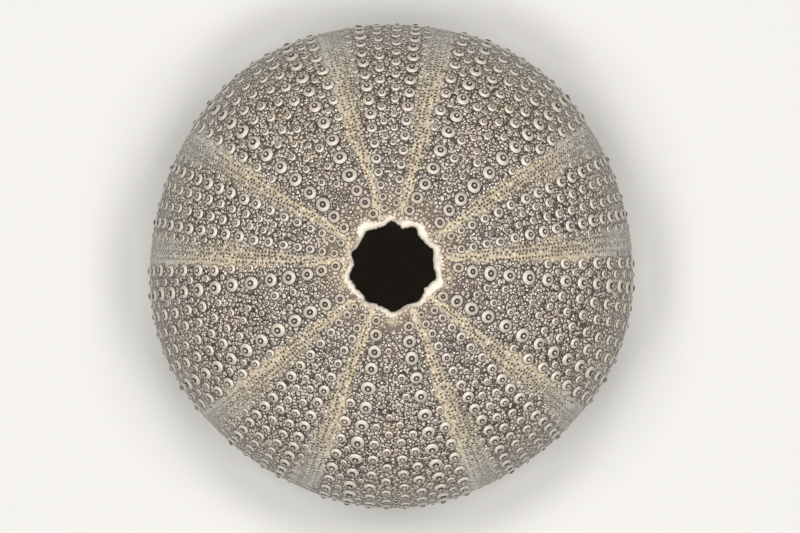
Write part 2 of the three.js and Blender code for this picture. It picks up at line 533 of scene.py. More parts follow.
NO_SMALL_TO = 1.02           # no small tubercles out to here on a ray
GRAIN_TRIES = 60000
GRAINS_NEAR_HOLE = 0.4       # share kept of the grains that fall next to the hole,
GRAINS_IN_BAND = 0.35        # among the pores,
GRAINS_IN_STRIP = 0.15       # and on the bare strip outside them
STRIP_TO = 1.04
GRAINS_GATHER_OVER = (2, 10)
GRAIN_SIZES = (0.65, 1.3)
EVEN_STRETCH = 0.06          # how far from round the tubercles are, and the pores and grains
UNEVEN_STRETCH = 0.15


class Layout:
    """Collects spots that keep clear of each other and of the two openings."""

    CELL = 0.05              # of the search grid, in reach and bearing
    WIDEST_ROOM = 1.1
    SPACING = 1.03           # how much farther apart than touching two spots stay

    def __init__(self, chance):
        self.chance = chance
        self.taken = defaultdict(list)
        self.around = round(2 * math.pi / self.CELL)
        for reach, bearing in zip([*UPPER_EDGE, *LOWER_EDGE], [*EDGE_BEARINGS, *EDGE_BEARINGS]):
            self.claim(float(reach), float(bearing), EDGE_ROOM)

    def cell(self, reach, bearing):
        return int(reach // self.CELL), int(bearing / (2 * math.pi) * self.around) % self.around

    def claim(self, reach, bearing, room):
        bearing %= 2 * math.pi
        self.taken[self.cell(reach, bearing)].append((reach, bearing, room))

    def clear(self, reach, bearing, room):
        nearest = round(bearing / (2 * math.pi) * EDGE_POINTS) % EDGE_POINTS
        if not UPPER_EDGE[nearest] < reach < LOWER_EDGE[nearest]:
            return False
        radius = float(SKIN.radius_at(reach))
        span = math.ceil((room + self.WIDEST_ROOM) / radius / self.CELL)
        row, column = self.cell(reach, bearing)
        for near_row in range(row - span, row + span + 1):
            for near_column in range(column - span, column + span + 1):
                for other in self.taken.get((near_row, near_column % self.around), ()):
                    turn = (other[1] - bearing + math.pi) % (2 * math.pi) - math.pi
                    apart = radius * math.hypot(other[0] - reach, turn)
                    if apart < (other[2] + room) * self.SPACING:
                        return False
        return True

    def try_spot(self, reach, bearing, size, room, stretch=EVEN_STRETCH):
        """A spot there if there is room for it, else None."""
        bearing = float(bearing) % (2 * math.pi)
        room = size * room * (1 + stretch) + 0.01
        if not self.clear(reach, bearing, room):
            return None
        self.claim(reach, bearing, room)
        return Spot(reach, bearing, size, self.chance.uniform(0, 2 * math.pi),
                    1 + self.chance.uniform(-stretch, stretch), self.chance.uniform(0, 1))

    def random_place(self):
        """A place drawn evenly by area between the two openings."""
        while True:
            reach = self.chance.uniform(SKIN.hole, SKIN.mouth)
            if self.chance.uniform() < (SKIN.radius_at(reach) / OUTER_RADIUS) ** 2:
                return float(reach), float(self.chance.uniform(0, 2 * math.pi))


def plate_places(pitch, offset):
    """How far along the skin each plate of a column sits: plates are shorter near both openings."""
    start = ALONG_HOLE + FIRST_PLATE
    end = ALONG_MOUTH - LAST_PLATE
    along = start + offset * pitch * YOUNG_STAGGER
    places = []
    while along < end:
        places.append(along)
        from_hole = min((along - start) / FIRST_PLATES_OVER, 1)
        from_mouth = min((end - along) / LAST_PLATES_OVER, 1)
        along += (pitch * (SHORTEST_FIRST_PLATE + (1 - SHORTEST_FIRST_PLATE) * from_hole)
                  * (SHORTEST_LAST_PLATE + (1 - SHORTEST_LAST_PLATE) * from_mouth))
    return places


def wanted_tubercles(ray, side, pitch, columns, in_zone):
    """Rank, place along the skin, bearing and size of each tubercle on one side of a ray or zone."""
    middle = FIRST_RAY + (ray + 0.5 * in_zone) * ZONE_PITCH
    wanted = []
    for along in plate_places(pitch, 0.5 * (side > 0) + 0.2 * ray % 1):
        reach = SKIN.reach_at(along)
        half = ray_half_width(reach)
        if in_zone:
            half = ZONE_PITCH / 2 - half
        from_mouth = min((ALONG_MOUTH - along) / FULL_SIZE_FROM_MOUTH, 1)
        crowding = SIZE_AT_MOUTH + (1 - SIZE_AT_MOUTH) * from_mouth
        for column in columns:
            if along < ALONG_HOLE + column.starts:
                continue
            age = grown(along, column.starts, column.full)
            offset = (column.young_at + (column.old_at - column.young_at) * age) * half
            if in_zone and column.rank == 0:
                offset = max(offset, CLOSEST_TO_MIDDLE / SKIN.radius_at(reach))
            size = (column.young_size + (column.old_size - column.young_size) * age) * crowding
            wanted.append((column.rank, along + column.shift, middle + side * offset, size))
    return wanted


def lay_tubercles(layout, sizes):
    """Tubercles of the plates: the main one of each plate first, then the lesser ones beside it."""
    spots = {"main": [], "lesser": [], "least": []}
    wanted = []
    for ray in range(RAYS):
        for side in (-1, 1):
            wanted += wanted_tubercles(ray, side, sizes.ray_plate, RAY_COLUMNS, False)
            wanted += wanted_tubercles(ray, side, sizes.zone_plate, ZONE_COLUMNS, True)
    wanted.sort(key=lambda want: want[0])
    for rank, along, bearing, size in wanted:
        reach = float(SKIN.reach_at(along + layout.chance.normal(0, PLACE_WOBBLE)))
        bearing += layout.chance.normal(0, PLACE_WOBBLE) / SKIN.radius_at(reach)
        size *= 1 + layout.chance.normal(0, SIZE_WOBBLE)
        for shrink in SHRINKS:
            spot = layout.try_spot(reach, bearing, size * shrink, STUD_ROOM)
            if spot is not None:
                kind = "main" if rank == 0 else "lesser" if spot.size > LEAST_LESSER else "least"
                spots[kind].append(spot)
                break
    return spots


def lay_small_tubercles(layout, sizes):
    """Small tubercles that fill what the plates' own ones leave, mostly low on the wall."""
    small = []
    for _ in range(SMALL_TRIES):
        reach, bearing = layout.random_place()
        along = float(SKIN.along_at(reach))
        if pore_band(along)[0] < across_at(reach, bearing) < NO_SMALL_TO:
            continue
        age = grown(along, *SMALL_GROW_OVER)
        if layout.chance.uniform() > SMALL_NEAR_HOLE + age:
            continue
        size = YOUNG_SMALL + (1 - YOUNG_SMALL) * age + layout.chance.uniform(-0.15, 0.15)
        size *= sizes.small_tubercle
        spot = layout.try_spot(reach, bearing, size, SMALL_ROOM)
        if spot is not None:
            small.append(spot)
    return small


def lay_pores(layout, sizes):
    """Rows of pores across both pore bands of each ray."""
    pores = []
    for ray in range(RAYS):
        for side in (-1, 1):
            middle = FIRST_RAY + ray * ZONE_PITCH
            along = ALONG_HOLE + FIRST_PORES
            while along < ALONG_MOUTH - LAST_PORES:
                pores += pore_row(layout, sizes, along, middle, side)
                along += pore_step(along)
    return pores


def pore_step(along):
    high, low = PORE_STEP
    return high + (low - high) * grown(along, *PORE_STEP_GROWS_OVER)


def pore_row(layout, sizes, along, middle, side):
    """One slanting, bowed row: its pores stand closer in pairs."""
    row = []
    reach = SKIN.reach_at(along)
    half = ray_half_width(reach)
    start, end = pore_band(along)
    count = max(2, round((end - start) * half * SKIN.radius_at(reach) / pore_step(along)))
    for index in range(count):
        part = (index + 0.5 + PORE_PAIRING * (-1) ** index) / count
        slant = PORE_ROW_BOW * math.sin(math.pi * part) - PORE_ROW_SLANT * part
        reach = float(SKIN.reach_at(along + slant + layout.chance.normal(0, PLACE_WOBBLE)))
        wobble = layout.chance.normal(0, PLACE_WOBBLE) / SKIN.radius_at(reach)
        bearing = middle + side * (start + (end - start) * part) * half + wobble
        age = YOUNGEST_PORE + (1 - YOUNGEST_PORE) * grown(along, *PORE_GROWS_OVER)
        size = sizes.pore * age * layout.chance.uniform(0.85, 1.15)
        spot = layout.try_spot(reach, bearing, size, PORE_ROOM, UNEVEN_STRETCH)
        if spot is not None:
            row.append(spot)
    return row


def lay_grains(layout, sizes):
    """The finest grains, wherever there is still room."""
    grains = []
    for _ in range(GRAIN_TRIES):
        reach, bearing = layout.random_place()
        across = across_at(reach, bearing)
        along = float(SKIN.along_at(reach))
        start, end = pore_band(along)
        if start < across < end and layout.chance.uniform() > GRAINS_IN_BAND:
            continue
        if end < across < STRIP_TO and layout.chance.uniform() > GRAINS_IN_STRIP:
            continue
        if layout.chance.uniform() > GRAINS_NEAR_HOLE + grown(along, *GRAINS_GATHER_OVER):
            continue
        size = sizes.grain * layout.chance.uniform(*GRAIN_SIZES)
        spot = layout.try_spot(reach, bearing, size, GRAIN_ROOM, UNEVEN_STRETCH)
        if spot is not None:
            grains.append(spot)
    return grains


class Sizes(NamedTuple):
    """The sizes that a user can change, in millimetres."""

    seed: int
    wall: float
    ray_plate: float
    zone_plate: float
    small_tubercle: float
    grain: float
    pore: float


def chosen_sizes(context):
    """The scene's sizes: every one after the seed is a length, turned from metres to millimetres."""
    chosen = context.scene.urchin_sizes
    lengths = (getattr(chosen, name) / MM for name in Sizes._fields[1:])
    return Sizes(chosen.seed, *lengths)


@functools.lru_cache(maxsize=1)
def planned_spots(sizes):
    """The spots of every kind of copy, the biggest kinds first."""
    layout = Layout(np.random.default_rng(sizes.seed))
    spots = lay_tubercles(layout, sizes)
    spots["pore"] = lay_pores(layout, sizes)
    spots["small"] = lay_small_tubercles(layout, sizes)
    spots["grain"] = lay_grains(layout, sizes)
    return spots


# ---- Copies on the skin ---------------------------------------------------------------------

class Patch(NamedTuple):
    """Every copy of one form: chart places and points in space, with their faces and looks."""

    reach: np.ndarray
    bearing: np.ndarray
    points: np.ndarray
    faces: list
    outlines: list
    pale: np.ndarray
    shade: np.ndarray
    tint: np.ndarray


def copies(form, spots):
    reach, bearing, size, turn, stretch, tint = (np.array(column)[:, None] for column in zip(*spots))
    x, y, z = form.points.T
    sideways = (x * np.cos(turn) - y * np.sin(turn)) * size * stretch
    down = (x * np.sin(turn) + y * np.cos(turn)) * size / stretch
    radius = SKIN.radius_at(reach)
    reach = reach + down / radius
    bearing = bearing - sideways / radius
    points = SKIN.place(reach, bearing, z * size)
    points[..., 2] = np.maximum(points[..., 2], 0)
    starts = range(0, len(spots) * len(form.points), len(form.points))
    faces = [[start + corner for corner in face] for start in starts for face in form.faces]
    outlines = [list(range(start, start + form.sides)) for start in starts]
    spread = np.ones_like(reach)
    return Patch(reach.ravel(), bearing.ravel(), points.reshape(-1, 3), faces, outlines,
                 (spread * form.pale).ravel(), (spread * form.shade).ravel(), (spread * tint).ravel())


def edge_patch(reach):
    """A bare loop of points on the skin, one at each of the edge bearings."""
    none = np.zeros(EDGE_POINTS)
    points = SKIN.place(reach, EDGE_BEARINGS)
    return Patch(reach, EDGE_BEARINGS, points, [], [list(range(EDGE_POINTS))], none, none, none + 0.5)


def joined(patches):
    """Several patches as one, with the corners of the later ones moved up."""
    faces, outlines, first = [], [], 0
    for patch in patches:
        faces += [[first + corner for corner in face] for face in patch.faces]
        outlines += [[first + corner for corner in outline] for outline in patch.outlines]
        first += len(patch.reach)
    columns = [np.concatenate([getattr(patch, name) for patch in patches])
               for name in ("reach", "bearing", "points", "pale", "shade", "tint")]
    return Patch(*columns[:3], faces, outlines, *columns[3:])


def filled_between(patch):
    """Triangles between a patch's outlines. The last outline is the rim, and the rest are holes.

    The places are laid out flat, with e to the power of reach as their distance from the middle:
    that keeps every shape, so the triangles stay even, and the ring closes on itself.
    """
    used = [corner for outline in patch.outlines for corner in outline]
    local = {corner: index for index, corner in enumerate(used)}
    spread = np.exp(patch.reach[used] - patch.reach.min())
    bearing = patch.bearing[used]
    flat = [Vector(pair) for pair in zip(spread * np.cos(bearing), spread * np.sin(bearing))]
    outlines = [[local[corner] for corner in outline] for outline in patch.outlines]
    made, _, faces, origins, _, covers = delaunay_2d_cdt(flat, [], outlines, 0, 1e-7, True)
    if len(made) != len(flat):
        raise RuntimeError("two outlines on the skin cross or touch")
    rim = {len(outlines) - 1}
    kept = [face for face, cover in zip(faces, covers) if set(cover) == rim]
    return [[used[origins[corner][0]] for corner in face] for face in kept]


# ---- Mesh helpers ---------------------------------------------------------------------------

def new_piece(name, points, faces):
    """A new object from points in millimetres, selected and active."""
    mesh = bpy.data.meshes.new(name)
    mesh.from_pydata((points * MM).tolist(), [], faces)
    piece = bpy.data.objects.new(name, mesh)
    bpy.context.collection.objects.link(piece)
    deselect_all()
    piece.select_set(True)
    bpy.context.view_layer.objects.active = piece
    return piece


def set_looks(piece, **looks):
    for name, values in looks.items():
        attribute = piece.data.attributes.new(name, "FLOAT", "POINT")
        attribute.data.foreach_set("value", np.asarray(values, dtype=np.float32))


def look(piece, name):
    values = np.empty(len(piece.data.vertices), dtype=np.float32)
    piece.data.attributes[name].data.foreach_get("value", values)
    return values


def close_up(merge_within=0.0):
    """Merges doubles of the active piece if asked, turns its faces outwards and smooths them."""
    bpy.ops.object.mode_set(mode="EDIT")
    bpy.ops.mesh.select_all(action="SELECT")
    if merge_within:
        bpy.ops.mesh.remove_doubles(threshold=merge_within)
    bpy.ops.mesh.normals_make_consistent(inside=False)
    bpy.ops.object.mode_set(mode="OBJECT")
    bpy.ops.object.shade_smooth()


def set_bake_places(piece, places):
    """Gives the piece its own map for baking: one place for each corner of each face."""
    while piece.data.uv_layers:
        piece.data.uv_layers.remove(piece.data.uv_layers[0])
    layer = piece.data.uv_layers.new(name="OFBake")
    layer.data.foreach_set("uv", places.ravel().astype(np.float32))


def loop_corners(piece):
    corners = np.empty(len(piece.data.loops), dtype=np.int32)
    piece.data.loops.foreach_get("vertex_index", corners)
    return corners


def face_of_loops(piece):
    totals = np.empty(len(piece.data.polygons), dtype=np.int32)
    piece.data.polygons.foreach_get("loop_total", totals)
    return np.repeat(np.arange(len(totals)), totals), len(totals)


def hand_over(piece, material):
    """Finishes a piece: its material, and its place in the frame."""
    piece.data.materials.append(material)
    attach(piece, "root")
    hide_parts(NODE)


def drawn_tube(name, rings, closed_ends):
    """A tube drawn out ring by ring from a circle, each ring a list of places in millimetres."""
    deselect_all()
    fill = "NGON" if closed_ends else "NOTHING"
    bpy.ops.mesh.primitive_circle_add(vertices=len(rings[0]), radius=MM, fill_type=fill)
    piece = bpy.context.object
    piece.name = name
    bpy.ops.object.mode_set(mode="EDIT")
    bpy.ops.mesh.select_all(action="SELECT")
    loop = None
    for index, ring in enumerate(rings):
        if index and closed_ends:
            bpy.ops.mesh.extrude_region_move()
        elif index:
            bpy.ops.mesh.extrude_edges_move()
        model = bmesh.from_edit_mesh(piece.data)
        chosen = [vertex for vertex in model.verts if vertex.select]
        if loop is None:
            chosen.sort(key=lambda vertex: math.atan2(vertex.co.y, vertex.co.x) % (2 * math.pi))
        else:
            chosen = in_order_of(chosen, loop)
        for vertex, place in zip(chosen, ring):
            vertex.co = place * MM
        loop = [Vector(vertex.co) for vertex in chosen]
        bmesh.update_edit_mesh(piece.data)
    bpy.ops.object.mode_set(mode="OBJECT")
    return piece


def in_order_of(chosen, places):
    """Fresh copies of a loop's corners, in the order of the loop they were copied from."""
    by_place = {tuple(round(part, 8) for part in vertex.co): vertex for vertex in chosen}
    return [by_place[tuple(round(part, 8) for part in place)] for place in places]


# ---- The wall -------------------------------------------------------------------------------

RIM_RINGS = ((0.40, 0.05), (0.18, 0.20), (0.03, 0.45), (0.0, 0.85), (0.12, 1.25))
LIP_RINGS = ((0.35, 0.85), (0.0, 0.5), (0.05, 0.2))
RIM_WOBBLE = 0.04
MERGE_WITHIN = 0.001
INSIDE_SHARE = 0.2           # of the bake map's height
BAKE_TURN = 1.03             # the wall's faces over the seam run on a little past a full turn


def lining(sizes):
    """The edges of both openings and the inside, as one open tube from edge to edge.

    Each ring is given by how far out from the edge it lies and by how deep: at the hole for a wall
    of the default thickness, at the mouth as a share of the wall.
    """
    chance = np.random.default_rng(EDGE_SEED)
    rings = [SKIN.place(UPPER_EDGE, EDGE_BEARINGS)]
    for outward, depth in RIM_RINGS:
        reach = SKIN.reach_of_upper_radius(HOLE_EDGE + outward)
        depth = depth * sizes.wall / WALL + chance.normal(0, RIM_WOBBLE, EDGE_POINTS)
        rings.append(SKIN.place(reach, EDGE_BEARINGS, -depth))
    start = SKIN.reach_of_upper_radius(HOLE_EDGE + HOLE_TO_INSIDE)
    end = SKIN.reach_of_lower_radius(MOUTH_EDGE + MOUTH_TO_INSIDE)
    for part in np.linspace(0, 1, INSIDE_RINGS):
        rings.append(SKIN.place(start + (end - start) * part, EDGE_BEARINGS, -sizes.wall))
    for outward, depth in LIP_RINGS:
        reach = SKIN.reach_of_lower_radius(MOUTH_EDGE + outward)
        rings.append(SKIN.place(reach, EDGE_BEARINGS, -depth * sizes.wall))
    rings.append(SKIN.place(LOWER_EDGE, EDGE_BEARINGS))
    piece = drawn_tube("lining", rings, False)
    ring_of = np.repeat(np.arange(len(rings)), EDGE_POINTS)
    first_inside = 1 + len(RIM_RINGS)
    across = angle_from_ray(EDGE_BEARINGS) / RAY_HALF_WIDTH
    set_looks(piece,
              across=np.tile(across, len(rings)),
              inside=np.clip(ring_of / first_inside, 0, 1) * (ring_of < len(rings) - 1),
              rim=(ring_of > 0) & (ring_of < first_inside),
              row=INSIDE_SHARE * (1 - ring_of / (len(rings) - 1)))
    return piece


def make_wall(sizes):
    spots = planned_spots(sizes)
    relief = joined([
        copies(open_underneath(turned_form("main_tubercle", 10, LARGE_STUD)), spots["main"]),
        copies(open_underneath(turned_form("lesser_tubercle", 8, MEDIUM_STUD)), spots["lesser"]),
        edge_patch(UPPER_EDGE),
        edge_patch(LOWER_EDGE),
    ])
    inside = lining(sizes)
    wall = new_piece("urchin_test_wall", relief.points, relief.faces + filled_between(relief))
    part = (SKIN.along_at(relief.reach) - ALONG_HOLE) / (ALONG_MOUTH - ALONG_HOLE)
    set_looks(wall, pale=relief.pale, shade=relief.shade, tint=relief.tint,
              across=across_at(relief.reach, relief.bearing), inside=np.zeros(len(part)),
              rim=np.zeros(len(part)), row=INSIDE_SHARE + (1 - INSIDE_SHARE) * np.clip(part, 0, 1))
    inside.select_set(True)
    bpy.ops.object.join()
    close_up(MERGE_WITHIN * MM)
    set_bake_places(wall, wall_bake_places(wall))
    wall.data.attributes.remove(wall.data.attributes["row"])
    return wall


def wall_bake_places(wall):
    """The wall unrolled: bearing across, and the way from edge to edge and back inside upwards."""
    points = np.empty(len(wall.data.vertices) * 3, dtype=np.float32)
    wall.data.vertices.foreach_get("co", points)
    x, y, _ = points.reshape(-1, 3).T
    corners = loop_corners(wall)
    turns = (np.arctan2(y, x) / (2 * math.pi) % 1)[corners]
    rows = look(wall, "row")[corners]
    face, count = face_of_loops(wall)
    most = np.zeros(count)
    least = np.ones(count)
    np.maximum.at(most, face, turns)
    np.minimum.at(least, face, turns)
    over_seam = (most - least)[face] > 0.5
    turns = np.where(over_seam & (turns < 0.5), turns + 1, turns) / BAKE_TURN
    lowest = np.ones(count)
    np.minimum.at(lowest, face, rows)
    rows = np.where((lowest[face] < INSIDE_SHARE) & (rows > 0.5), 0, rows)
    return np.stack([turns, rows], 1)


# ---- The copies that stand on the wall ------------------------------------------------------

BAKED_TOP = 0.44             # half width of a copy's top in its square of the bake map,
BAKED_BASE = 0.03            # and of its base,
BASE_MIDDLE = 0.96           # which lies in the square's far corner


def make_copies(name, kinds):
    """One piece from several forms, each with its own spots."""
    bits = joined([copies(form, spots) for form, spots in kinds])
    piece = new_piece(name, bits.points, bits.faces)
    set_looks(piece, pale=bits.pale, shade=bits.shade, tint=bits.tint,
              across=across_at(bits.reach, bits.bearing))
    close_up()
    set_bake_places(piece, copies_bake_places(piece, kinds))
    return piece


def copies_bake_places(piece, kinds):
    """A square of the map for each copy: its top seen from above, and its base in a corner."""
    flat = [np.tile(form.points[:, :2] / form.points[:, :2].max(), (len(spots), 1))
            for form, spots in kinds]
    total = sum(len(spots) for _, spots in kinds)
    side = math.ceil(math.sqrt(total))
    corners_each = [len(form.points) for form, spots in kinds for _ in spots]
    copy = np.repeat(np.arange(total), corners_each)
    square = np.stack([copy % side, copy // side], 1)
    corners = loop_corners(piece)
    face, _ = face_of_loops(piece)
    bases = np.array([is_base(form, each)
                      for form, spots in kinds for _ in spots for each in form.faces])
    local = np.concatenate(flat)[corners] * BAKED_TOP + 0.5
    in_corner = np.concatenate(flat)[corners] * BAKED_BASE + BASE_MIDDLE
    return (square[corners] + np.where(bases[face][:, None], in_corner, local)) / side


def parted(spots, upper):
    """The spots above the widest place, or those below it."""
    return [spot for spot in spots if (spot.reach < SKIN.equator) == upper]


# ---- The arches inside the mouth ------------------------------------------------------------

def arch_path(sizes):
    """Middle, half width and lean of an arch at each step from foot to foot."""
    floor = LIP_RISE * ((REST_INNER - ARCH_RADIUS) / (REST_INNER - LIP_RADIUS)) ** 2
    foot = floor + RELIEF + sizes.wall
    spring = foot + ARCH_SPRING
    path = [(-ARCH_SPAN / 2, foot - ARCH_ROOT, ARCH_LEG * ARCH_ROOT_FLARE, 0.0),
            (-ARCH_SPAN / 2, foot, ARCH_LEG * ARCH_FOOT_FLARE, 0.0)]
    for part in np.linspace(0, 1, ARCH_STEPS):
        turn = math.pi * part
        half_width = ARCH_LEG + (ARCH_CROWN - ARCH_LEG) * math.sin(turn)
        path.append((-ARCH_SPAN / 2 * math.cos(turn),
                     spring + (ARCH_HEIGHT - ARCH_SPRING) * math.sin(turn), half_width, turn))
    path += [(-across, height, half, math.pi) for across, height, half, _ in reversed(path[:2])]
    return path, foot


def make_arches(sizes):
    """Five arches, one over each ray: the first is drawn out from a disc, the rest are copies."""
    path, foot = arch_path(sizes)
    rings = []
    for across, height, half_width, turn in path:
        out = np.array([0.0, -math.cos(turn), math.sin(turn)])
        ring = []
        for side in np.linspace(0, 2 * math.pi, ARCH_SIDES, endpoint=False):
            deep = ARCH_DEPTH * math.cos(side)
            wide = half_width * math.sin(side)
            lean = (height - foot) * math.tan(ARCH_LEAN)
            ring.append([ARCH_RADIUS + deep + lean, across + out[1] * wide, height + out[2] * wide])
        rings.append(np.array(ring))
    model = drawn_tube("arch", rings, True)
    points = np.array([vertex.co for vertex in model.data.vertices]) / MM
    faces = [list(face.vertices) for face in model.data.polygons]
    bpy.data.meshes.remove(model.data)
    everything, every_face = [], []
    for ray in range(RAYS):
        bearing = FIRST_RAY + ray * ZONE_PITCH
        x, y, z = points.T
        every_face += [[len(points) * ray + corner for corner in face] for face in faces]
        everything.append(np.stack([x * math.cos(bearing) - y * math.sin(bearing),
                                    x * math.sin(bearing) + y * math.cos(bearing), z], 1))
    piece = new_piece("auricles", np.concatenate(everything), every_face)
    set_looks(piece, inside=np.ones(len(points) * RAYS))
    close_up()
    return piece


# ---- Shader helpers -------------------------------------------------------------------------

class Value:
    """A number socket that takes part in plain arithmetic."""

    def __init__(self, nodes, socket):
        self.nodes = nodes
        self.socket = socket

    def __add__(self, other):
        return self.nodes.math("ADD", self, other)

    def __radd__(self, other):
        return self.nodes.math("ADD", other, self)

    def __sub__(self, other):
        return self.nodes.math("SUBTRACT", self, other)

    def __rsub__(self, other):
        return self.nodes.math("SUBTRACT", other, self)

    def __mul__(self, other):
        return self.nodes.math("MULTIPLY", self, other)

    def __rmul__(self, other):
        return self.nodes.math("MULTIPLY", other, self)

    def __truediv__(self, other):
        return self.nodes.math("DIVIDE", self, other)

    def __rtruediv__(self, other):
        return self.nodes.math("DIVIDE", other, self)

    def at_least(self, other):
        return self.nodes.math("MAXIMUM", self, other)

    def at_most(self, other):
        return self.nodes.math("MINIMUM", self, other)

    def root(self):
        return self.nodes.math("SQRT", self)

    def fraction(self):
        return self.nodes.math("FRACT", self)

    def step(self, low, high):
        """0 below low, 1 above high, smooth in between."""
        node = self.nodes.new("ShaderNodeMapRange", {"interpolation_type": "SMOOTHSTEP"},
                              {"Value": self, "From Min": low, "From Max": high})
        return Value(self.nodes, node.outputs[0])


class Nodes:
    """Adds nodes to one material."""

    def __init__(self, name):
        self.material = bpy.data.materials.new(name)
        self.material.use_nodes = True
        self.tree = self.material.node_tree
        self.tree.nodes.clear()

    def new(self, kind, settings=None, inputs=None):
        """A node of a type, its settings made first, then its sockets set or linked."""
        node = self.tree.nodes.new(kind)
        for name, value in (settings or {}).items():
            setattr(node, name, value)
        for name, value in (inputs or {}).items():
            socket = node.inputs[name]
            if isinstance(value, Value):
                value = value.socket
            if isinstance(value, bpy.types.NodeSocket):
                self.tree.links.new(value, socket)
            else:
                socket.default_value = value
        return node

    def math(self, operation, *values):
        node = self.new("ShaderNodeMath", {"operation": operation}, dict(enumerate(values)))
        return Value(self, node.outputs[0])

    def attribute(self, name):
        return Value(self, self.new("ShaderNodeAttribute", {"attribute_name": name}).outputs["Fac"])

    def parts(self, vector):
        """The three numbers that a vector is made of."""
        node = self.new("ShaderNodeSeparateXYZ", None, {"Vector": vector})
        return [Value(self, socket) for socket in node.outputs]

    def noise(self, place, scale, detail=2.0, roughness=0.5):
        node = self.new("ShaderNodeTexNoise", None, {
            "Vector": place, "Scale": scale, "Detail": detail, "Roughness": roughness})
        return Value(self, node.outputs["Fac"])

    def mix(self, factor, first, second):
        """A colour between two colours."""
        node = self.new("ShaderNodeMix", {"data_type": "RGBA"}, {0: factor, 6: first, 7: second})
        return node.outputs[2]


PATCH_SCALE = 170.0          # of each pattern, in features to the metre
MOTTLE_SCALE = 1100.0
FINE_SCALE = 4200.0
GRANULE_SCALE = 2150.0
BREAK_SCALE = 230.0
CRUMB_SCALE = 380.0
BREAK_DEPTH = 5.5            # how far the chalky rim of the hole wanders, in millimetres
BAND_WANDER = 0.45           # how far the edges of a pore band wander with each pattern
BAND_PATCHES = 0.3
BUMP_HEIGHT = 0.1


class Marks(NamedTuple):
    """Where a point of the shell lies and how it is blotched, from 0 to 1 apart from the radius."""

    radius: Value            # from the axis, in millimetres
    upper: Value             # the dome
    low: Value               # the flank
    top: Value               # round the apical hole
    band: Value              # a pore band
    strip: Value             # the bare outer edge of a pore band
    seam: Value              # the middle of a zone
    patches: Value           # blotches some millimetres wide
    mottle: Value            # finer ones
    granule: Value           # the raised middles of the granules


def marks_on(nodes, place):
    x, y, z = nodes.parts(place)
    radius = (x * x + y * y).root() / MM
    height = z / (MM * OUTER_HEIGHT)
    patches = nodes.noise(place, PATCH_SCALE, 3.0)
    mottle = nodes.noise(place, MOTTLE_SCALE, 3.0, 0.6)
    edges = nodes.new("ShaderNodeTexVoronoi", {"feature": "DISTANCE_TO_EDGE"},
                      {"Vector": place, "Scale": GRANULE_SCALE}).outputs["Distance"]
    top = 1 - (radius + 2 * mottle).step(HOLE_RADIUS + 1.5, HOLE_RADIUS + 7)
    across = nodes.attribute("across")
    wandering = across + BAND_WANDER * (mottle - 0.5) + BAND_PATCHES * (patches - 0.5)
    outer = 0.92 + 0.12 * top
    band = wandering.step(0.48, 0.66) * (1 - wandering.step(outer, outer + 0.16))
    return Marks(
        radius=radius,
        upper=height.step(0.55, 0.88),
        low=1 - height.step(0.35, 0.80),
        top=top,
        band=band,
        strip=band * wandering.step(0.74, 0.94),
        seam=wandering.step(1.74, 2.14),
        patches=patches,
        mottle=mottle,
        granule=Value(nodes, edges).step(0.05, 0.26),
    )


def ground_colour(nodes, colours, marks, place):
    """Granules with painted shade in the hollows between them and painted glints on some, paler and
    calmer on the pore bands, low down and by the hole.
    """
    low, top, band, strip, seam = marks.low, marks.top, marks.band, marks.strip, marks.seam
    violet = marks.patches.step(0.48, 0.66)
    light = nodes.mix(violet * 0.4, colours.ground_light, colours.violet)
    light = nodes.mix((seam * 0.7).at_least(top * 0.8), light, colours.seam)
    light = nodes.mix(low * 0.85, light, colours.band_grey)
    cream = nodes.mix(marks.upper * (0.8 + 0.2 * strip), colours.band_grey, colours.band_cream)
    light = nodes.mix(band * (0.65 + 0.3 * marks.mottle + 0.3 * strip), light, cream)
    # Painted glints: some granules, chosen at random, are lightened towards chalk as highlights
    cells = nodes.new("ShaderNodeTexVoronoi", None, {"Vector": place, "Scale": GRANULE_SCALE})
    glint = Value(nodes, cells.outputs["Color"]).step(0.55, 0.95)
    light = nodes.mix(glint * (1 - 0.4 * band) * 0.6, light, colours.chalk_and_highlight)
    calm = band * (0.5 + 0.15 * strip + 0.4 * low)
    calm = calm.at_least(low * 0.36).at_least(top * (0.15 + 0.35 * seam))
    # Painted shade, over the ground's darker tone, in the hollows between granules
    dark = nodes.mix(calm, colours.ground_hollow_shade, light)
    return nodes.mix(marks.granule * (0.35 + 0.9 * marks.mottle), dark, light)


def disc_colour(nodes, colours, marks, pale):
    """Grey and pinkish discs, with a painted highlight where they face up. What is paler than 1 is
    chalk.
    """
    tint = nodes.attribute("tint")
    geometry = nodes.new("ShaderNodeNewGeometry")
    _, _, upright = nodes.parts(geometry.outputs["Normal"])
    disc = nodes.mix(tint.step(0.45, 1.0), colours.disc_grey, colours.disc_pink)
    disc = nodes.mix((tint * 7).fraction() * 0.35, disc, colours.ground_light)
    disc = nodes.mix((pale - 1).step(0.0, 0.4), disc, colours.chalk_and_highlight)
    disc = nodes.mix(marks.top * 0.4, disc, colours.seam)
    disc = nodes.mix(marks.low * 0.75, disc, colours.band_grey)
    # Painted highlight: discs that face straight up are lightened towards chalk, as frontal light
    # would light them
    return nodes.mix(upright.step(0.86, 1.0) * (0.5 - 0.4 * marks.top), disc, colours.chalk_and_highlight)


def chalky_edge(nodes, marks, place, shade):
    """How chalky the broken edge of the apical hole is, and the skin just outside it."""
    broken = marks.radius + BREAK_DEPTH * nodes.noise(place, BREAK_SCALE, 2.0)
    beside = (1 - broken.step(HOLE_RADIUS + 2.7, HOLE_RADIUS + 3.3)) * marks.upper
    crumbled = nodes.noise(place, CRUMB_SCALE, 1.0).step(0.47, 0.60)
    on_edge = nodes.attribute("rim") * marks.upper * crumbled
    return beside.at_least(on_edge) * (1 - shade) * 0.9


